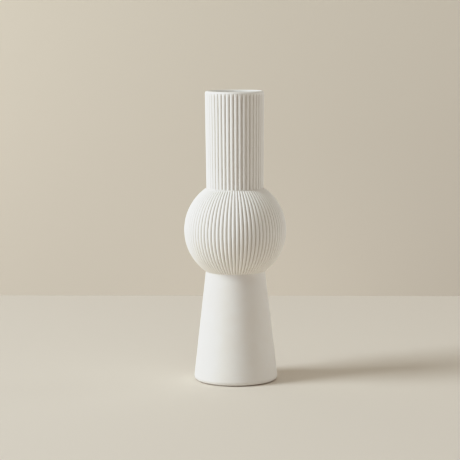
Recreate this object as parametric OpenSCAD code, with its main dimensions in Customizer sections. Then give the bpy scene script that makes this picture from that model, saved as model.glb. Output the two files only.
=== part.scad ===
// Ceramic bottle vase: a smooth cone, a ribbed ball and a ribbed tube, cast as
// separate clay sections and luted to each other with slip.
// Millimetres, +Z up, origin on the table under the vase's axis.

/* [Foot] */
// Diameter of the cone at the table, measured as if its edge were sharp
foot_base_d = 105; // [95:1:130]
// Diameter of the cone's top, where the belly stands on it
foot_top_d = 73.6; // [70:0.2:84]
// Height of the cone
foot_h = 136; // [80:1:220]
// Radius of the cone's rounded lower edge
foot_edge_r = 5.6; // [2:0.2:8]
// Width of the ground ring that stands on the table
foot_ring_w = 2.4; // [1.5:0.1:5]
// Thickness of the floor disc
floor_t = 6; // [4:0.5:12]
// Height of the floor disc's underside above the table
floor_lift = 2; // [1:0.5:6]

/* [Belly] */
// Diameter of the ball over its ribs
belly_d = 126.4; // [110:0.2:170]
// Wall of the ball, measured from the top of a rib
belly_wall = 4.5; // [3.5:0.1:6]
// Number of ribs round the ball
belly_rib_count = 78; // [60:2:96]
// Depth of the valleys between the ribs, at the widest place of the ball
belly_rib_depth = 1.8; // [0.8:0.1:2]
// How much shallower the valleys are at the ends of the ribs
belly_rib_fade = 0.6; // [0.3:0.05:0.8]
// Height of the smooth collar between the ribs and the neck
belly_collar_h = 0.8; // [0.6:0.2:4]
// Angle that the belly is turned on the foot
belly_turn = 2.4; // [0:0.1:6]

/* [Neck] */
// Diameter of the neck over its ribs, where it stands on the belly
neck_bottom_d = 70.6; // [64:0.2:80]
// Diameter of the neck at the rim
neck_top_d = 73; // [68:0.2:84]
// Height of the neck above the belly, to the rim
neck_h = 119.6; // [60:0.2:200]
// Wall of the neck, measured from the top of a rib
neck_wall = 4.5; // [3.8:0.1:6]
// Number of ribs round the neck
neck_rib_count = 44; // [36:2:56]
// Depth of the valleys between the ribs
neck_rib_depth = 1.8; // [0.8:0.1:2]
// Angle that the neck is turned on the belly
neck_turn = 6.3; // [0:0.1:8]
// Height of the smooth lip above the ribs, measured as if its edge were sharp
lip_h = 1.5; // [1:0.1:10]
// Radius of the arc on which each valley runs out under the lip
runout_r = 8; // [4:0.5:20]
// Radius of the rim's rounded outer edge
rim_outer_r = 2.8; // [1:0.1:2.9]
// Radius of the rim's rounded inner edge
rim_inner_r = 1.4; // [0.8:0.1:1.5]
// Height of the straight part of the mouth
mouth_h = 15; // [8:1:40]

/* [Joints] */
// Thickness of the beds of slip
slip_t = 0.5; // [0.3:0.1:1]
// Width of the foot's shoulder, which carries the belly
foot_shoulder_w = 4.3; // [3:0.1:5]
// Wall of the neck's spigot, which plugs the top of the belly
neck_spigot_t = 2.2; // [1.5:0.1:2.6]
// Ledge of the belly that shows round the neck
neck_ledge_w = 0.6; // [0.2:0.1:2]
// Thickness of the glaze that lines the inside
glaze_t = 0.4; // [0.3:0.1:0.8]

/* [Hidden] */
$fn = 96;

CLAY = [0.93, 0.92, 0.90];
SLIP = [0.89, 0.88, 0.85];
GLAZE = [0.97, 0.97, 0.96];

// Overlap that carries a cut clear through the surface it cuts
CUT = 1;
// How far each rib's arc would rise over the turned surface: it leaves a narrow crest
CREST_RISE = 0.01;
// Share of the space between two ribs that one valley may take
VALLEY_SHARE = 0.95;
// Angle by which a valley's cutter turns past the place where it leaves the surface
CUTTER_OVERRUN = 3;
// Least width left flat on top of the rim, between its two rounded edges
RIM_FLAT = 0.2;

// Foot: a line from the table to the joint, with its lower edge rounded
foot_base_r = foot_base_d / 2;
foot_top_r = foot_top_d / 2;
foot_lean = atan((foot_base_r - foot_top_r) / foot_h);
function foot_r(z) = foot_base_r - z * tan(foot_lean);
foot_stand_r = foot_r(foot_edge_r) - foot_edge_r / cos(foot_lean);
foot_inner_base_r = foot_stand_r - foot_ring_w;
foot_spigot_r = foot_top_r - foot_shoulder_w;
floor_z = floor_lift + floor_t;

// Belly: a ball between two flat cuts
belly_r = belly_d / 2;
belly_inner_r = belly_r - belly_wall;
neck_bottom_r = neck_bottom_d / 2;
belly_seat_r = neck_bottom_r + neck_ledge_w;
belly_bottom_z = foot_h + slip_t;
belly_z = belly_bottom_z + sqrt(belly_r ^ 2 - foot_top_r ^ 2);
belly_top_z = belly_z + sqrt(belly_r ^ 2 - belly_seat_r ^ 2);
belly_foot_hole_r = foot_spigot_r + slip_t;
// Where the foot's inside meets the inside of the ball
foot_throat_r = sqrt(belly_inner_r ^ 2 - (belly_z - foot_h) ^ 2);
foot_inner_lean = atan((foot_inner_base_r - foot_throat_r) / foot_h);

// Neck: a slightly flared tube
neck_top_r = neck_top_d / 2;
neck_z = belly_top_z + slip_t;
rim_z = neck_z + neck_h;
neck_flare = atan((neck_top_r - neck_bottom_r) / neck_h);
neck_inner_r = neck_bottom_r - neck_wall;
mouth_r = neck_top_r - neck_wall;
lip_r = min(rim_outer_r, neck_wall - rim_inner_r - RIM_FLAT);
neck_spigot_r = neck_inner_r + neck_spigot_t;
belly_neck_hole_r = neck_spigot_r + slip_t;

// The region near a corner that a rounded edge of radius r takes away. The edge's
// centre is at c, and it touches the two sides in the directions from and to.
module edge_scrap(c, r, from, to) {
    mid = (from + to) / 2;
    reach = r / cos((to - from) / 2) + CUT;
    toward = function(a, d) [c.x + d * cos(a), c.y + d * sin(a)];
    difference() {
        polygon([c, toward(from, r), toward(from, reach),
                 toward(mid, reach + CUT), toward(to, reach), toward(to, r)]);
        translate(c) circle(r = r);
    }
}

// Half section of the water space, drawn in by inset on every side
module cavity_2d(inset = 0) {
    foot_drop = inset / cos(foot_inner_lean);
    function inner_r(z) = foot_inner_base_r - z * tan(foot_inner_lean) - foot_drop;
    polygon([[0, floor_z + inset], [inner_r(floor_z + inset), floor_z + inset],
             [inner_r(belly_z), belly_z], [0, belly_z]]);
    intersection() {
        translate([0, belly_z]) circle(r = belly_inner_r - inset);
        translate([0, belly_z - belly_r]) square([belly_r, belly_d]);
    }
    polygon([[0, belly_z], [neck_inner_r - inset, belly_z], [neck_inner_r - inset, neck_z],
             [mouth_r - inset, rim_z - mouth_h], [mouth_r - inset, rim_z + CUT], [0, rim_z + CUT]]);
}

// One valley between two ribs, cut square across: what lies between the two ribs'
// round sides, on a turned surface of radius r with count ribs
module valley_2d(r, depth, count) {
    half = 180 / count;
    crest = r + CREST_RISE;
    valley = r - depth;
    rib_centre = (crest ^ 2 - valley ^ 2) / (2 * (crest - valley * cos(half)));
    side = tan(half * VALLEY_SHARE);
    top = r + CUT;
    difference() {
        polygon([[rib_centre, -rib_centre * side], [top, -top * side],
                 [top, top * side], [rib_centre, rib_centre * side]]);
        for (s = [-1, 1]) rotate(s * half) translate([rib_centre, 0]) circle(r = crest - rib_centre);
    }
}

module foot_2d() {
    edge = [foot_stand_r, foot_edge_r];
    difference() {
        union() {
            polygon([[0, 0], [foot_base_r, 0], [foot_top_r, foot_h], [0, foot_h]]);
            square([foot_spigot_r, belly_z]);
        }
        edge_scrap(edge, foot_edge_r, -90, foot_lean);
        polygon([[0, -CUT], [foot_inner_base_r + CUT * tan(foot_inner_lean), -CUT],
                 [foot_inner_base_r - floor_z * tan(foot_inner_lean), floor_z], [0, floor_z]]);
        cavity_2d();
    }
}

module foot() {
    color(CLAY) rotate_extrude() foot_2d();
}

// Half section of the floor: a plug whose edge has the same taper as the cone's
// inside. gap is the slip left round it.
module floor_2d(gap) {
    function edge_r(z) = foot_inner_base_r - z * tan(foot_inner_lean) - gap;
    polygon([[0, floor_lift], [edge_r(floor_lift), floor_lift], [edge_r(floor_z), floor_z], [0, floor_z]]);
}

module floor_disc() {
    color(CLAY) rotate_extrude() floor_2d(slip_t);
}

module floor_slip() {
    color(SLIP) rotate_extrude() difference() {
        floor_2d(0);
        floor_2d(slip_t);
    }
}

module belly_2d() {
    difference() {
        intersection() {
            translate([0, belly_z]) circle(r = belly_r);
            translate([0, belly_bottom_z]) square([belly_r, belly_top_z - belly_bottom_z]);
        }
        cavity_2d();
        square([belly_foot_hole_r, belly_z]);
        translate([0, belly_z]) square([belly_neck_hole_r, belly_d]);
    }
}

// One valley down the side of the ball. Its arc is a little flatter than the ball,
// so that it grows shallower towards both ends.
module belly_valley() {
    collar_z = belly_top_z - belly_collar_h - belly_z;
    rise = asin(collar_z / belly_r);
    fall = 90 - asin((foot_top_r - belly_wall) / belly_r);
    flatter = belly_rib_fade / (1 - cos(rise));
    translate([-flatter, 0, belly_z]) rotate([90, 0, 0]) rotate([0, 0, -fall])
        rotate_extrude(angle = rise + fall) translate([flatter, 0])
            valley_2d(belly_r, belly_rib_depth, belly_rib_count);
}

// Every second valley of the ball, from the one numbered first. Neighbouring
// cutters would meet near the ends, where the ribs draw together.
module belly_valleys(first) {
    for (i = [first : 2 : belly_rib_count - 1]) rotate(belly_turn + i * 360 / belly_rib_count) belly_valley();
}

module belly() {
    color(CLAY) difference() {
        difference() {
            rotate_extrude() belly_2d();
            belly_valleys(0);
        }
        belly_valleys(1);
    }
}

module belly_slip() {
    color(SLIP) rotate_extrude() difference() {
        union() {
            translate([0, foot_h]) square([foot_top_r, slip_t]);
            translate([0, foot_h]) square([belly_foot_hole_r, belly_z - foot_h]);
        }
        square([foot_spigot_r, belly_z]);
        cavity_2d();
    }
}

module neck_2d() {
    lip_edge = [neck_top_r - lip_r * (tan(neck_flare) + 1 / cos(neck_flare)), rim_z - lip_r];
    mouth_edge = [mouth_r + rim_inner_r, rim_z - rim_inner_r];
    difference() {
        union() {
            polygon([[0, neck_z], [neck_bottom_r, neck_z], [neck_top_r, rim_z], [0, rim_z]]);
            translate([0, belly_z]) square([neck_spigot_r, neck_z + CUT - belly_z]);
        }
        translate([0, belly_z]) circle(r = belly_inner_r);
        cavity_2d();
        edge_scrap(lip_edge, lip_r, -neck_flare, 90);
        edge_scrap(mouth_edge, rim_inner_r, 90, 180);
    }
}

// One valley up the side of the neck, which runs out on an arc under the lip
module neck_valley() {
    rise = acos(runout_r / (runout_r + neck_rib_depth));
    runout_h = (runout_r + neck_rib_depth) * sin(rise);
    straight_h = neck_h - lip_h - runout_h;
    axis_r = neck_bottom_r + runout_r;
    translate([neck_bottom_r, 0, neck_z]) rotate([0, neck_flare, 0]) translate([-neck_bottom_r, 0, 0]) {
        translate([0, 0, -CUT]) linear_extrude(straight_h + CUT)
            valley_2d(neck_bottom_r, neck_rib_depth, neck_rib_count);
        translate([axis_r, 0, straight_h]) rotate([90, 0, 180])
            rotate_extrude(angle = rise + CUTTER_OVERRUN) translate([axis_r, 0]) mirror([1, 0])
                valley_2d(neck_bottom_r, neck_rib_depth, neck_rib_count);
    }
}

module neck() {
    color(CLAY) difference() {
        rotate_extrude() neck_2d();
        for (i = [0 : neck_rib_count - 1]) rotate(neck_turn + i * 360 / neck_rib_count) neck_valley();
    }
}

module neck_slip() {
    color(SLIP) rotate_extrude() difference() {
        translate([0, belly_z]) square([neck_bottom_r, neck_z - belly_z]);
        translate([belly_neck_hole_r, belly_z]) square([belly_r, belly_top_z - belly_z]);
        translate([0, belly_z]) square([neck_spigot_r, belly_d]);
        translate([0, belly_z]) circle(r = belly_inner_r);
    }
}

module glaze_lining() {
    color(GLAZE) rotate_extrude() difference() {
        cavity_2d();
        cavity_2d(glaze_t);
        translate([0, rim_z - rim_inner_r]) square([belly_r, belly_d]);
    }
}

foot();
floor_disc();
floor_slip();
belly();
belly_slip();
neck();
neck_slip();
glaze_lining();
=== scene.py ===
import bpy
import numpy as np
from mathutils import Matrix, Vector


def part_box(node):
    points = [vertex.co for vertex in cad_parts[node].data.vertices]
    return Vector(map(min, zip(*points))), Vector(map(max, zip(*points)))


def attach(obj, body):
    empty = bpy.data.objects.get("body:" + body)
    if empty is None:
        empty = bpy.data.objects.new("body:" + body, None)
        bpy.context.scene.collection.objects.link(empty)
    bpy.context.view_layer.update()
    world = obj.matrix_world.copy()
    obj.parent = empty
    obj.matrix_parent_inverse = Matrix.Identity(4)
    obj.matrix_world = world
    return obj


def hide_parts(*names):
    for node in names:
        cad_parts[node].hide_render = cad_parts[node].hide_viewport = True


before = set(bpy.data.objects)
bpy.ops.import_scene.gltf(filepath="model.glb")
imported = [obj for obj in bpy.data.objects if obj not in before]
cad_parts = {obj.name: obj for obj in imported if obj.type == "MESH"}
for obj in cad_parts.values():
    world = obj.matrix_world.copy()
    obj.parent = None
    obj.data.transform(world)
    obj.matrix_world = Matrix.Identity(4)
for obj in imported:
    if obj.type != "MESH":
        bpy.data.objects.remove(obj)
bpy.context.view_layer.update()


# The foot
# A cone slip-cast in white stoneware clay, fired once and left unglazed. Its lower edge is
# rounded, and a narrow ring inside that edge is ground flat to stand on. A spigot at its
# top plugs the belly from below.
FOOT_BASE_R = 52.5
FOOT_EDGE_R = 5.6
FOOT_RING_W = 2.4
FOOT_RING_EDGE_R = 0.35
FOOT_SHOULDER_W = 4.3
FOOT_COLUMNS = 240
FOOT_ARC_STEPS = 12
FOOT_THROAT_ROWS = 6
BELLY_R = 63.2
# Sizes of the vase are in mm, and this is one in Blender's metres
MM = 0.001
# Rounding of the edges that meet in a joint
JOINT_EDGE_R = 0.05
# A straight side longer than this gets rows of its own, the outer two close to its ends
LONG_SIDE = 8.0
LONG_SIDE_CUTS = np.array([0.0, 0.25, 0.5, 0.75, 1.0])
CLOSE_TO_END = 0.2
# A length that counts as none
NO_LENGTH = 1e-6
# Edges of a mesh that turn by more than this stay sharp
SHARP_TURN = np.radians(50)


def span(node):
    """Widest radius, lowest and highest point of a CAD node, in mm."""
    low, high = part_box(node)
    return high.x / MM, low.z / MM, high.z / MM


def rounded(corners, steps=7):
    """Outline through corners given as (radius, height, rounding), in mm. A corner whose
    sides stand 2 h apart becomes an arc of its rounding: it starts and ends at
    rounding / tan(h) along the sides, and its centre is at rounding / sin(h) on their
    bisector. Long straight sides get rows of their own, so that they stay flat in the
    light. An outline that starts and ends on the axis gets no such rows along the axis."""
    corners = np.array(corners, float)
    point, rounding = corners[:, :2], corners[:, 2:]
    back = np.roll(point, 1, 0) - point
    ahead = np.roll(point, -1, 0) - point
    back /= np.linalg.norm(back, axis=1, keepdims=True)
    ahead /= np.linalg.norm(ahead, axis=1, keepdims=True)
    half = np.arccos(np.clip((back * ahead).sum(1, keepdims=True), -1, 1)) / 2
    reach = rounding / np.tan(half)
    start, end = point + back * reach, point + ahead * reach
    middle = back + ahead
    middle /= np.maximum(np.linalg.norm(middle, axis=1, keepdims=True), NO_LENGTH)
    centre = point + middle * rounding / np.sin(half)
    first = np.arctan2(start[:, 1] - centre[:, 1], start[:, 0] - centre[:, 0])
    last = np.arctan2(end[:, 1] - centre[:, 1], end[:, 0] - centre[:, 0])
    sweep = (last - first + np.pi) % (2 * np.pi) - np.pi
    turn = first[:, None] + sweep[:, None] * np.linspace(0, 1, steps + 1)
    arcs = centre[:, None] + rounding[:, None] * np.stack([np.cos(turn), np.sin(turn)], -1)
    side = np.roll(start, -1, 0) - end
    size = np.linalg.norm(side, axis=1, keepdims=True)
    near = CLOSE_TO_END / np.maximum(size, LONG_SIDE)
    cuts = near + (1 - 2 * near) * LONG_SIDE_CUTS
    rows = np.concatenate([arcs, end[:, None] + cuts[..., None] * side[:, None]], 1)
    kept = np.ones(rows.shape[:2], bool)
    kept[:, steps + 1:] = size > LONG_SIDE
    if point[0, 0] == 0 and point[-1, 0] == 0:
        kept[-1, steps + 1:] = False
    outline = rows[kept]
    moved = np.linalg.norm(outline - np.roll(outline, 1, 0), axis=1) > NO_LENGTH
    return outline[moved]


def turned(name, radius, height, turn=0.0):
    """Closed mesh turned about the Z axis. radius and height are rows by columns, in mm:
    a row is one point of an anticlockwise outline, carried round the axis from the angle
    turn. A row that lies on the axis is one point, and a fan of triangles closes it."""
    rows, columns = radius.shape
    angle = turn + 2 * np.pi * np.arange(columns) / columns
    place = np.stack([radius * np.cos(angle), radius * np.sin(angle), height], -1) * MM
    pole = radius.max(1) == 0
    count = np.where(pole, 1, columns)
    ring = (np.cumsum(count) - count)[:, None] + np.where(pole[:, None], 0, np.arange(columns))
    lower, upper = ring, np.roll(ring, -1, 0)
    if pole.any():
        lower, upper = lower[:-1], upper[:-1]
    corner = np.stack([lower, np.roll(lower, -1, 1), np.roll(upper, -1, 1), upper], -1).reshape(-1, 4)
    low_fan, high_fan = corner[:, 0] == corner[:, 1], corner[:, 2] == corner[:, 3]
    faces = corner[~(low_fan | high_fan)].tolist()
    faces += corner[low_fan][:, [0, 2, 3]].tolist() + corner[high_fan][:, :3].tolist()
    kept = ~pole[:, None] | (np.arange(columns) == 0)
    mesh = bpy.data.meshes.new(name)
    mesh.from_pydata(place[kept].tolist(), [], faces)
    mesh.shade_smooth()
    mesh.set_sharp_from_angle(angle=SHARP_TURN)
    piece = bpy.data.objects.new(name, mesh)
    bpy.context.scene.collection.objects.link(piece)
    return piece


def smooth_turned(name, outline, columns):
    """A turned piece that is the same all the way round."""
    around = np.ones(columns)
    return turned(name, outline[:, :1] * around, outline[:, 1:] * around)


def linear(hex_colour):
    """sRGB hex colour as linear RGBA, by the curve of the sRGB standard."""
    value = np.array([int(hex_colour[i:i + 2], 16) for i in (1, 3, 5)]) / 255
    value = np.where(value <= 0.04045, value / 12.92, ((value + 0.055) / 1.055) ** 2.4)
    return (*value.tolist(), 1.0)


def surface(name):
    """A new material, its node tree and its shader."""
    made = bpy.data.materials.new(name)
    made.use_nodes = True
    return made, made.node_tree, made.node_tree.nodes["Principled BSDF"]


def add(tree, kind, settings=None, links=None):
    """Adds a node, gives its sockets or properties the values in settings, and links the
    sockets named in links to the outputs given there."""
    node = tree.nodes.new(kind)
    for key, value in (settings or {}).items():
        if isinstance(key, int) or key in node.inputs:
            node.inputs[key].default_value = value
        else:
            setattr(node, key, value)
    for key, output in (links or {}).items():
        tree.links.new(output, node.inputs[key])
    return node


# White stoneware bisque: dry and matt, near white, with slow faint clouds left by the slip.
# The crests of the ribs carry a painted highlight of paler white, and the lip a greyer painted
# shade. The valleys carry a beige painted shade, the underside of the belly a creamy painted glow
# of light bounced up from the table, and the lowest edge of the foot a brown painted contact
# shadow where it meets the table. The tooth of the clay, about 0.1 mm in the real piece, is
# drawn coarser so that it shows.
BISQUE_LIGHT = "#EFEEEA"
BISQUE_CLOUD = "#EEECE7"
BISQUE_VALLEY_SHADE = "#BFB5A6"
BISQUE_BOUNCE_GLOW = "#F7F4ED"
BISQUE_CREST_HIGHLIGHT = "#F8F8F5"
BISQUE_CONTACT_SHADOW = "#946F48"
# Heights over the table between which the painted contact shadow fades
CONTACT_SHADOW_LOW, CONTACT_SHADOW_HIGH = 0.5, 1.5
CLOUD_SIZE = 22.0
CLOUD_DETAIL = 3.0
# Values of the noise between which a cloud changes from dark to light
CLOUD_LOW, CLOUD_HIGH = 0.38, 0.62
TOOTH_SIZE = 0.9
TOOTH_DETAIL = 2.0
TOOTH_DEPTH = 0.06
TOOTH_STRENGTH = 0.25
BISQUE_SMOOTHEST, BISQUE_ROUGHEST = 0.78, 0.92
BISQUE_IOR = 1.5
BISQUE_SPECULAR = 0.3
# Sockets of a Mix node that mixes colours
MIX_FACTOR, MIX_A, MIX_B, MIX_RESULT = 0, 6, 7, 2
bisque, tree, shader = surface("white_stoneware_bisque")
place = add(tree, "ShaderNodeTexCoord").outputs["Object"]
cloud = add(tree, "ShaderNodeTexNoise",
            {"Scale": 1 / (CLOUD_SIZE * MM), "Detail": CLOUD_DETAIL}, {"Vector": place})
clouds = add(tree, "ShaderNodeMapRange", {"From Min": CLOUD_LOW, "From Max": CLOUD_HIGH},
             {"Value": cloud.outputs["Fac"]})
clay = add(tree, "ShaderNodeMix",
           {"data_type": "RGBA", MIX_A: linear(BISQUE_CLOUD), MIX_B: linear(BISQUE_LIGHT)},
           {MIX_FACTOR: clouds.outputs["Result"]})
# Painted light: above 0 paints shade in the valleys, below 0 paints a highlight on the crests
rib_light_fac = add(tree, "ShaderNodeAttribute", {"attribute_name": "rib_painted_light"}).outputs["Fac"]
highlight_share = add(tree, "ShaderNodeMath", {"operation": "MULTIPLY", 1: -1.0}, {0: rib_light_fac})
# Painted highlight: the crests are mixed towards a paler white
crest_highlit = add(tree, "ShaderNodeMix", {"data_type": "RGBA", MIX_B: linear(BISQUE_CREST_HIGHLIGHT)},
             {MIX_FACTOR: highlight_share.outputs[0], MIX_A: clay.outputs[MIX_RESULT]})
underside = add(tree, "ShaderNodeAttribute", {"attribute_name": "under"}).outputs["Fac"]
# Painted bounce light: the underside of the belly is mixed lighter and warmer
bounce_lit = add(tree, "ShaderNodeMix", {"data_type": "RGBA", MIX_B: linear(BISQUE_BOUNCE_GLOW)},
             {MIX_FACTOR: underside, MIX_A: crest_highlit.outputs[MIX_RESULT]})
# Painted shade: the valleys are mixed towards beige
valley_shaded = add(tree, "ShaderNodeMix", {"data_type": "RGBA", MIX_B: linear(BISQUE_VALLEY_SHADE)},
              {MIX_FACTOR: rib_light_fac, MIX_A: bounce_lit.outputs[MIX_RESULT]})
# Painted contact shadow: brown below 1.5 mm over the table, where the foot meets it
over_table = add(tree, "ShaderNodeSeparateXYZ", links={0: place}).outputs["Z"]
contact_band = add(tree, "ShaderNodeMapRange",
            {"From Min": CONTACT_SHADOW_HIGH * MM, "From Max": CONTACT_SHADOW_LOW * MM}, {"Value": over_table})
contact_shaded = add(tree, "ShaderNodeMix", {"data_type": "RGBA", MIX_B: linear(BISQUE_CONTACT_SHADOW)},
              {MIX_FACTOR: contact_band.outputs["Result"], MIX_A: valley_shaded.outputs[MIX_RESULT]})
tree.links.new(contact_shaded.outputs[MIX_RESULT], shader.inputs["Base Color"])
tooth = add(tree, "ShaderNodeTexNoise",
            {"Scale": 1 / (TOOTH_SIZE * MM), "Detail": TOOTH_DETAIL}, {"Vector": place})
sheen = add(tree, "ShaderNodeMapRange",
            {"To Min": BISQUE_SMOOTHEST, "To Max": BISQUE_ROUGHEST}, {"Value": tooth.outputs["Fac"]})
tree.links.new(sheen.outputs["Result"], shader.inputs["Roughness"])
bump = add(tree, "ShaderNodeBump", {"Strength": TOOTH_STRENGTH, "Distance": TOOTH_DEPTH * MM},
           {"Height": tooth.outputs["Fac"]})
tree.links.new(bump.outputs["Normal"], shader.inputs["Normal"])
shader.inputs["IOR"].default_value = BISQUE_IOR
shader.inputs["Specular IOR Level"].default_value = BISQUE_SPECULAR

foot_top_r, foot_h, _ = span("belly_slip")
belly_inner_r, floor_z, lining_top_z = span("glaze_lining")
_, belly_bottom_z, belly_top_z = span("belly")
belly_z = belly_bottom_z + np.sqrt(BELLY_R ** 2 - foot_top_r ** 2)
foot_lean = np.arctan((FOOT_BASE_R - foot_top_r) / foot_h)
foot_stand_r = FOOT_BASE_R - FOOT_EDGE_R * (np.tan(foot_lean) + 1 / np.cos(foot_lean))
foot_inner_base_r = foot_stand_r - FOOT_RING_W
foot_throat_r = np.sqrt(belly_inner_r ** 2 - (belly_z - foot_h) ** 2)
foot_spigot_r = foot_top_r - FOOT_SHOULDER_W


def ball_arc(radius, start_r, end_r, side, count):
    """Corners along the belly's circle of that radius, from one distance off the axis to
    another, on its upper half (side = 1) or lower half (side = -1)."""
    rise = side * np.linspace(np.arccos(start_r / radius), np.arccos(end_r / radius), count)
    return np.stack([radius * np.cos(rise), belly_z + radius * np.sin(rise), np.zeros(count)], -1)


foot = smooth_turned("foot_cone", rounded([
    (foot_inner_base_r, 0, FOOT_RING_EDGE_R),
    (FOOT_BASE_R, 0, FOOT_EDGE_R),
    (foot_top_r, foot_h, JOINT_EDGE_R),
    (foot_spigot_r, foot_h, JOINT_EDGE_R),
    *ball_arc(belly_inner_r, foot_spigot_r, foot_throat_r, -1, FOOT_THROAT_ROWS),
], FOOT_ARC_STEPS), FOOT_COLUMNS)
foot.data.materials.append(bisque)
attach(foot, "root")
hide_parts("foot")


# The floor
# A disc cut from a slab of the same clay with a tapered edge, pushed up into the cone from
# below and luted in. It sits clear of the table, so that only the ring stands on it.
DISC_DISH = 0.4
# Share of the dish that is left halfway out
DISC_HALFWAY = 0.8
DISC_EDGE_R = 0.35
DISC_COLUMNS = 180
disc_r, disc_z, _ = span("floor_disc")
inner_lean = (foot_inner_base_r - foot_throat_r) / foot_h
disc_top_r = disc_r - (floor_z - disc_z) * inner_lean
disc = smooth_turned("floor_plug", rounded([
    (0, disc_z + DISC_DISH, 0),
    (disc_r / 2, disc_z + DISC_HALFWAY * DISC_DISH, 0),
    (disc_r, disc_z, DISC_EDGE_R),
    (disc_top_r, floor_z, JOINT_EDGE_R),
    (0, floor_z, 0),
]), DISC_COLUMNS)
disc.data.materials.append(bisque)
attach(disc, "root")
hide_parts("floor_disc")


# The slip in the joints
# Liquid clay spread between the sections and wiped flush with a sponge when they were set
# on each other: a ring round the floor, and a bed at each crease with a lip inside it.
SLIP_T = 0.5
SLIP_COLUMNS = 240
SLIP_ARC_ROWS = 2
NECK_WALL = 4.5
NECK_SPIGOT_T = 2.2
# Sponged slip: the same white as the clay, dabbed with the pores of the sponge.
SLIP_LIGHT = "#F0EFEC"
SLIP_DARK = "#E8E6E1"
SPONGE_PORE = 3.0
PORE_DETAIL = 4.0
# Values of the noise between which a dab changes from dark to light
DAB_LOW, DAB_HIGH = 0.3, 0.7
PORE_DEPTH = 0.1
PORE_STRENGTH = 0.4
SLIP_ROUGH = 0.9
SLIP_SPECULAR = 0.25
slip, tree, shader = surface("sponged_slip")
place = add(tree, "ShaderNodeTexCoord").outputs["Object"]
dabs = add(tree, "ShaderNodeTexNoise",
           {"Scale": 1 / (SPONGE_PORE * MM), "Detail": PORE_DETAIL}, {"Vector": place})
worn = add(tree, "ShaderNodeMapRange",
           {"From Min": DAB_LOW, "From Max": DAB_HIGH}, {"Value": dabs.outputs["Fac"]})
tones = add(tree, "ShaderNodeMix",
            {"data_type": "RGBA", MIX_A: linear(SLIP_DARK), MIX_B: linear(SLIP_LIGHT)},
            {MIX_FACTOR: worn.outputs["Result"]})
tree.links.new(tones.outputs[MIX_RESULT], shader.inputs["Base Color"])
bump = add(tree, "ShaderNodeBump", {"Strength": PORE_STRENGTH, "Distance": PORE_DEPTH * MM},
           {"Height": dabs.outputs["Fac"]})
tree.links.new(bump.outputs["Normal"], shader.inputs["Normal"])
shader.inputs["Roughness"].default_value = SLIP_ROUGH
shader.inputs["Specular IOR Level"].default_value = SLIP_SPECULAR

floor_ring_r, _, _ = span("floor_slip")
neck_bottom_r, _, neck_z = span("neck_slip")
neck_inner_r = neck_bottom_r - NECK_WALL
neck_spigot_r = neck_inner_r + NECK_SPIGOT_T
belly_foot_hole_r = foot_spigot_r + SLIP_T
belly_neck_hole_r = neck_spigot_r + SLIP_T
SLIP_OUTLINES = {
    "floor_slip": [
        (disc_r, disc_z, 0),
        (floor_ring_r, disc_z, 0),
        (floor_ring_r - (floor_z - disc_z) * inner_lean, floor_z, 0),
        (disc_top_r, floor_z, 0),
    ],
    "belly_slip": [
        (foot_spigot_r, foot_h, 0),
        (foot_top_r, foot_h, 0),
        (foot_top_r, belly_bottom_z, 0),
        (belly_foot_hole_r, belly_bottom_z, 0),
        *ball_arc(belly_inner_r, belly_foot_hole_r, foot_spigot_r, -1, SLIP_ARC_ROWS),
    ],
    "neck_slip": [
        *ball_arc(belly_inner_r, neck_spigot_r, belly_neck_hole_r, 1, SLIP_ARC_ROWS),
        (belly_neck_hole_r, belly_top_z, 0),
        (neck_bottom_r, belly_top_z, 0),
        (neck_bottom_r, neck_z, 0),
        (neck_spigot_r, neck_z, 0),
    ],
}
for node, corners in SLIP_OUTLINES.items():
    bed = smooth_turned(node + "_bed", rounded(corners), SLIP_COLUMNS)
    bed.data.materials.append(slip)
    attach(bed, "root")
    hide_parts(node)


# The belly
# A ball cast in the same clay in a ribbed mould and cut open at both ends. Its ribs are
# half-round reeds with sharp valleys, which draw together towards the creases and were
# wiped smooth just short of them.
BELLY_RIBS = 78
BELLY_TURN = np.radians(2.4)
BELLY_RIB_DEPTH = 1.8
# The ribs get shallower towards the creases, with the cosine of the latitude to this power
BELLY_RIB_FADE = 0.8
BELLY_COLLAR_H = 0.2
BELLY_RUNOUT_H = 0.8
BELLY_COLUMNS_PER_RIB = 14
# Rows of half the ball, and of the width at each of its ends where they lie closer
BELLY_ROWS = 24
BELLY_CLOSE_ROWS = 8
BELLY_CLOSE_W = 2.5
BELLY_INNER_ROWS = 9
VALLEY_TILT = np.radians(70)
# Powers by which the painted shade leaves a valley and the painted highlight leaves a crest
SHADE_FALL = 1.5
HIGHLIGHT_FALL = 2
CREST_HIGHLIGHT = 1.0
BELLY_VALLEY_SHADE = 0.85
# Painted shade on the smooth bands beside the creases
CREASE_SHADE = 0.4
# Sine of the latitude below the ball's middle from which the underside carries all its painted bounce
# light
BOUNCE_FULL = 0.8


def reeds(columns_per_rib, count):
    """How deep each column lies between the ribs, 0 on a crest and 1 in a valley. Each rib
    is a circular arc whose sides tilt by VALLEY_TILT where two ribs meet: with across from
    -1 to 1 over one rib, the depth is 1 - cos(asin(sin(tilt) * across)), over its largest
    value."""
    across = 2 * (np.arange(columns_per_rib * count) % columns_per_rib) / columns_per_rib - 1
    return (1 - np.sqrt(1 - (np.sin(VALLEY_TILT) * across) ** 2)) / (1 - np.cos(VALLEY_TILT))


def store(piece, name, values):
    """Gives each point of a piece a number for its material to read."""
    layer = piece.data.attributes.new(name, "FLOAT", "POINT")
    layer.data.foreach_set("value", values.astype(np.float32).ravel())


def rib_painted_light(valley, shade, highlight):
    """Painted light on a ribbed face: painted shade in a valley, up to the first amount, and a
    painted highlight on a crest, down to minus the second; the first times the depth to one
    power, less the second times what is left of the depth to another."""
    return shade * valley ** SHADE_FALL - highlight * (1 - valley) ** HIGHLIGHT_FALL


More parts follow.
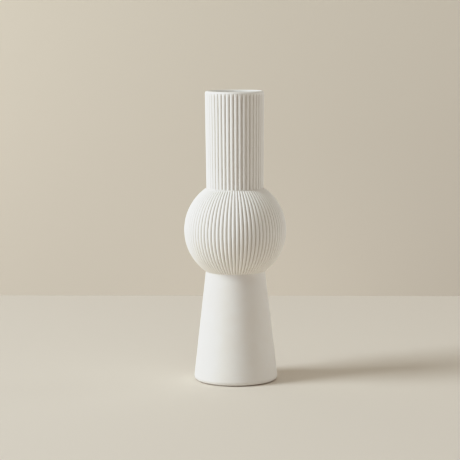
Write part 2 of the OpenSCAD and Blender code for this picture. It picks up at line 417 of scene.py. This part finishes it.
belly_seat_r = np.sqrt(BELLY_R ** 2 - (belly_top_z - belly_z) ** 2)
low_rows_r = foot_top_r + BELLY_CLOSE_W
high_rows_r = belly_seat_r + BELLY_CLOSE_W
outline = rounded([
    (belly_foot_hole_r, belly_bottom_z, 0),
    *ball_arc(BELLY_R, foot_top_r, low_rows_r, -1, BELLY_CLOSE_ROWS)[:-1],
    *ball_arc(BELLY_R, low_rows_r, BELLY_R, -1, BELLY_ROWS)[:-1],
    *ball_arc(BELLY_R, BELLY_R, high_rows_r, 1, BELLY_ROWS)[:-1],
    *ball_arc(BELLY_R, high_rows_r, belly_seat_r, 1, BELLY_CLOSE_ROWS),
    (belly_neck_hole_r, belly_top_z, 0),
    *ball_arc(belly_inner_r, belly_neck_hole_r, belly_inner_r, 1, BELLY_INNER_ROWS)[:-1],
    *ball_arc(belly_inner_r, belly_inner_r, belly_foot_hole_r, -1, BELLY_INNER_ROWS),
])
radius, height = outline[:, :1], outline[:, 1:]
latitude = np.arctan2(height - belly_z, radius)
outside = np.hypot(radius, height - belly_z) > BELLY_R - BELLY_RIB_DEPTH
below_collar = np.clip((belly_top_z - BELLY_COLLAR_H - height) / BELLY_RUNOUT_H, 0, 1)
above_bed = np.clip((height - belly_bottom_z) / BELLY_RUNOUT_H, 0, 1)
rib_share = outside * np.sqrt(below_collar * above_bed)
valley = rib_share * reeds(BELLY_COLUMNS_PER_RIB, BELLY_RIBS)
depth = BELLY_RIB_DEPTH * np.cos(latitude) ** BELLY_RIB_FADE * valley
ribbed_r = radius - depth * np.cos(latitude)
ribbed_z = height - depth * np.sin(latitude)
belly = turned("belly_ball", ribbed_r, ribbed_z, BELLY_TURN)
# Painted shade in the valleys and on the smooth bands beside the creases, painted highlight on the
# crests
rib_light = rib_painted_light(valley, BELLY_VALLEY_SHADE, CREST_HIGHLIGHT)
store(belly, "rib_painted_light", rib_share * rib_light + outside * (1 - rib_share) * CREASE_SHADE)
# Painted bounce light: lighter and warmer towards the bottom of the belly
under = outside * np.clip(-np.sin(latitude) / BOUNCE_FULL, 0, 1)
store(belly, "under", np.broadcast_to(under, valley.shape))
belly.data.materials.append(bisque)
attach(belly, "root")
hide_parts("belly")


# The neck
# A slightly flared tube cast in a ribbed mould of its own. Its reeds are straight, and run
# out on a short arc under a smooth lip that was rounded with a wet sponge.
NECK_TOP_R = 36.5
NECK_RIBS = 44
NECK_RIB_DEPTH = 1.8
NECK_TURN = np.radians(6.3)
NECK_COLUMNS_PER_RIB = 18
NECK_ROWS = 12
RUNOUT_ROWS = 16
LIP_ARC_STEPS = 8
SPIGOT_ROWS = 3
# Painted shade in the neck's valleys, and a greyer painted shade on its lip
NECK_VALLEY_SHADE = 0.85
LIP_SHADE = 0.35
LIP_H = 1.5
LIP_R = 2.8
MOUTH_EDGE_R = 1.4
MOUTH_H = 15.0
RUNOUT_R = 8.0
_, _, rim_z = span("neck")
mouth_r = NECK_TOP_R - NECK_WALL
runout_h = np.sqrt((RUNOUT_R + NECK_RIB_DEPTH) ** 2 - RUNOUT_R ** 2)
runout_z = rim_z - LIP_H - runout_h


def neck_r(z):
    """Radius of the neck over its ribs: a straight taper from the crease to the rim."""
    return neck_bottom_r + (NECK_TOP_R - neck_bottom_r) * (z - neck_z) / (rim_z - neck_z)


rows_z = np.concatenate([
    np.linspace(neck_z, runout_z, NECK_ROWS)[1:],
    np.linspace(runout_z, rim_z - LIP_R, RUNOUT_ROWS)[1:-1],
])
outline = rounded([
    (neck_spigot_r, neck_z, 0),
    (neck_bottom_r, neck_z, JOINT_EDGE_R),
    *np.stack([neck_r(rows_z), rows_z, np.zeros(len(rows_z))], -1),
    (NECK_TOP_R, rim_z, LIP_R),
    (mouth_r, rim_z, MOUTH_EDGE_R),
    (mouth_r, rim_z - MOUTH_H, 0),
    (neck_inner_r, neck_z, 0),
    *ball_arc(belly_inner_r, neck_inner_r, neck_spigot_r, 1, SPIGOT_ROWS),
], LIP_ARC_STEPS)
radius, height = outline[:, :1], outline[:, 1:]
outside = (radius > NECK_TOP_R - LIP_R) & (height >= neck_z)
past = np.clip(height - runout_z, 0, runout_h)
lifted = NECK_RIB_DEPTH + RUNOUT_R - np.sqrt((RUNOUT_R + NECK_RIB_DEPTH) ** 2 - past ** 2)
depth = np.clip(NECK_RIB_DEPTH * reeds(NECK_COLUMNS_PER_RIB, NECK_RIBS) - lifted, 0, None)
ribbed_r = np.where(outside, np.minimum(radius, neck_r(height) - depth), radius)
neck = turned("neck_tube", ribbed_r, np.broadcast_to(height, ribbed_r.shape), NECK_TURN)
# Towards the rim the crests' painted highlight turns into a greyer painted shade on the lip
lip = np.clip((height - rim_z) / LIP_R + 1, 0, 1)
rib_light = rib_painted_light(depth / NECK_RIB_DEPTH, NECK_VALLEY_SHADE, CREST_HIGHLIGHT - (CREST_HIGHLIGHT + LIP_SHADE) * lip)
store(neck, "rib_painted_light", outside * rib_light)
neck.data.materials.append(bisque)
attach(neck, "root")
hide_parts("neck")


# The glaze
# A clear satin glaze poured in and out again. It lines the inside from the floor to the lip
# and makes the vase hold water.
GLAZE_T = 0.4
GLAZE_LIP_R = 0.25
GLAZE_FLOOR_R = 3.0
GLAZE_COLUMNS = 180
GLAZE_BALL_ROWS = 16
# Satin glaze: milky over the white clay, a little greyer where it ran thick, with the slow
# waves of a poured coat in its gloss.
GLAZE_THIN = "#FAF9F6"
GLAZE_THICK = "#F0F0EC"
GLAZE_WAVE = 12.0
WAVE_DETAIL = 1.0
WAVE_DEPTH = 0.3
WAVE_STRENGTH = 0.3
GLAZE_SMOOTHEST, GLAZE_ROUGHEST = 0.24, 0.34
GLAZE_IOR = 1.5
glaze, tree, shader = surface("clear_satin_glaze")
place = add(tree, "ShaderNodeTexCoord").outputs["Object"]
wave = add(tree, "ShaderNodeTexNoise",
           {"Scale": 1 / (GLAZE_WAVE * MM), "Detail": WAVE_DETAIL}, {"Vector": place})
tones = add(tree, "ShaderNodeMix",
            {"data_type": "RGBA", MIX_A: linear(GLAZE_THICK), MIX_B: linear(GLAZE_THIN)},
            {MIX_FACTOR: wave.outputs["Fac"]})
tree.links.new(tones.outputs[MIX_RESULT], shader.inputs["Base Color"])
gloss = add(tree, "ShaderNodeMapRange",
            {"To Min": GLAZE_SMOOTHEST, "To Max": GLAZE_ROUGHEST}, {"Value": wave.outputs["Fac"]})
tree.links.new(gloss.outputs["Result"], shader.inputs["Roughness"])
bump = add(tree, "ShaderNodeBump", {"Strength": WAVE_STRENGTH, "Distance": WAVE_DEPTH * MM},
           {"Height": wave.outputs["Fac"]})
tree.links.new(bump.outputs["Normal"], shader.inputs["Normal"])
shader.inputs["IOR"].default_value = GLAZE_IOR

inner_floor_r = foot_inner_base_r - floor_z * inner_lean
thin_ball_r = belly_inner_r - GLAZE_T
lining = smooth_turned("lining_skin", rounded([
    (0, floor_z, 0),
    (inner_floor_r, floor_z, 0),
    *ball_arc(belly_inner_r, foot_throat_r, belly_inner_r, -1, GLAZE_BALL_ROWS)[:-1],
    *ball_arc(belly_inner_r, belly_inner_r, neck_inner_r, 1, GLAZE_BALL_ROWS),
    (neck_inner_r, neck_z, 0),
    (mouth_r, rim_z - MOUTH_H, 0),
    (mouth_r, lining_top_z, 0),
    (mouth_r - GLAZE_T, lining_top_z, GLAZE_LIP_R),
    (mouth_r - GLAZE_T, rim_z - MOUTH_H, 0),
    (neck_inner_r - GLAZE_T, neck_z, 0),
    *ball_arc(thin_ball_r, neck_inner_r - GLAZE_T, thin_ball_r, 1, GLAZE_BALL_ROWS)[:-1],
    *ball_arc(thin_ball_r, thin_ball_r, foot_throat_r - GLAZE_T, -1, GLAZE_BALL_ROWS),
    (inner_floor_r - GLAZE_T, floor_z + GLAZE_T, GLAZE_FLOOR_R),
    (0, floor_z + GLAZE_T, 0),
]), GLAZE_COLUMNS)
lining.data.materials.append(glaze)
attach(lining, "root")
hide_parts("glaze_lining")


# The studio
# A pale matt board to stand on, whose back edge lies a little aslant behind the vase, and a
# plain wall farther back, beyond the reach of any camera that goes round the vase.
BOARD = "#E5DED3"
# Sizes and places in the room are in metres
BOARD_BACK = 0.663
BOARD_SLANT = 0.0425
BOARD_HALF = 2.0
WALL = "#E5DECE"
WALL_BACK = 2.2
WALL_HALF = 3.0
WALL_LOW, WALL_HIGH = -1.5, 2.5
PAINT_ROUGH = 0.9
PAINT_SPECULAR = 0.1
STUDIO = {
    "studio_board": (BOARD, [
        (-BOARD_HALF, -BOARD_HALF, 0),
        (BOARD_HALF, -BOARD_HALF, 0),
        (BOARD_HALF, BOARD_BACK - BOARD_SLANT * BOARD_HALF, 0),
        (-BOARD_HALF, BOARD_BACK + BOARD_SLANT * BOARD_HALF, 0),
    ]),
    "studio_wall": (WALL, [
        (-WALL_HALF, WALL_BACK, WALL_LOW),
        (WALL_HALF, WALL_BACK, WALL_LOW),
        (WALL_HALF, WALL_BACK, WALL_HIGH),
        (-WALL_HALF, WALL_BACK, WALL_HIGH),
    ]),
}
for name, (colour, corners) in STUDIO.items():
    mesh = bpy.data.meshes.new(name)
    mesh.from_pydata(corners, [], [(0, 1, 2, 3)])
    paint, _, shader = surface(name + "_paint")
    shader.inputs["Base Color"].default_value = linear(colour)
    shader.inputs["Roughness"].default_value = PAINT_ROUGH
    shader.inputs["Specular IOR Level"].default_value = PAINT_SPECULAR
    mesh.materials.append(paint)
    plane = bpy.data.objects.new(name, mesh)
    bpy.context.scene.collection.objects.link(plane)


# The light
# A wide, cool window on the left with a pane low down, the glow of the room's far side on the
# right, soft light from the ceiling, two faint lights on the wall, one of them behind the
# vase, and the warm bounce of the room itself.
ROOM = (0.266, 0.209, 0.182, 1.0)
world = bpy.data.worlds.new("warm_room")
world.use_nodes = True
world.node_tree.nodes["Background"].inputs["Color"].default_value = ROOM
bpy.context.scene.world = world
VASE = Vector((0, 0, 0.18))
WALL_LEFT = Vector((-1.0, WALL_BACK, 0.05))
WALL_BEHIND = Vector((0.1, WALL_BACK, -0.03))
# Each lamp's aim, degrees to the left of the viewer, degrees above the level, distance, width,
# power and colour
LAMPS = {
    "window": (VASE, 74, 36, 6.0, 2.4, 247, (0.86, 0.94, 0.99)),
    "low_pane": (VASE, 66, 4, 6.0, 1.9, 78, (0.79, 0.90, 1.0)),
    "far_side": (VASE, -104, 3, 5.0, 1.25, 56, (0.94, 1.0, 0.98)),
    "ceiling": (VASE, 20, 75, 2.4, 2.0, 10.8, (0.86, 1.0, 0.86)),
    "wall_wash": (WALL_LEFT, 20, 8, 1.2, 0.8, 3.8, (1.0, 0.95, 0.85)),
    "wall_glow": (WALL_BEHIND, 0, -40, 0.6, 0.3, 0.3, (1.0, 0.95, 0.88)),
}
for name, (aim, left, up, distance, width, power, colour) in LAMPS.items():
    bearing, rise = np.radians(left), np.radians(up)
    away = Vector((-np.sin(bearing) * np.cos(rise), -np.cos(bearing) * np.cos(rise), np.sin(rise)))
    lamp_data = bpy.data.lights.new(name, "AREA")
    lamp_data.size = width
    lamp_data.energy = power
    lamp_data.color = colour
    lamp = bpy.data.objects.new(name, lamp_data)
    lamp.location = aim + away * distance
    lamp.rotation_mode = "QUATERNION"
    lamp.rotation_quaternion = (-away).to_track_quat("-Z", "Y")
    bpy.context.scene.collection.objects.link(lamp)


# The camera
# Set as the photograph was taken: a long lens a little above the rim, looking down, and a film
# whose brightest tones roll off, so that the lit side keeps its shading.
VIEW_AIM = Vector((-0.0065, 0, 0.1876))
VIEW_DISTANCE = 2.202
VIEW_DOWN = np.radians(6.885)
VIEW_ROLL = np.radians(-0.293)
LENS = 138.9
SENSOR = 36.0
camera_data = bpy.data.cameras.new("camera")
camera_data.lens = LENS
camera_data.sensor_width = SENSOR
camera = bpy.data.objects.new("camera", camera_data)
away = Vector((0, -np.cos(VIEW_DOWN), np.sin(VIEW_DOWN)))
tilt = Matrix.Rotation(np.pi / 2 - VIEW_DOWN, 4, "X") @ Matrix.Rotation(VIEW_ROLL, 4, "Z")
camera.matrix_world = Matrix.Translation(VIEW_AIM + away * VIEW_DISTANCE) @ tilt
bpy.context.scene.collection.objects.link(camera)
bpy.context.scene.camera = camera

# Tones over the shoulder are shown as shoulder + over / (1 + over / softness). The steps of the
# curve lie closest at the shoulder, by squares.
FILM_SHOULDER = 0.70
FILM_SOFTNESS = 0.40
FILM_TOP = 2.0
FILM_STEPS = 9
# The curve that all three colours share
COMBINED = 3
film = bpy.context.scene.view_settings
film.view_transform = "Standard"
film.use_curve_mapping = True
film.curve_mapping.clip_max_x = FILM_TOP
over = (FILM_TOP - FILM_SHOULDER) * np.linspace(0, 1, FILM_STEPS) ** 2
shown = FILM_SHOULDER + over / (1 + over / FILM_SOFTNESS)
points = film.curve_mapping.curves[COMBINED].points
points[-1].location = (FILM_TOP, shown[-1])
for bright, tone in zip(FILM_SHOULDER + over[:-1], shown):
    points.new(bright, tone)
film.curve_mapping.update()
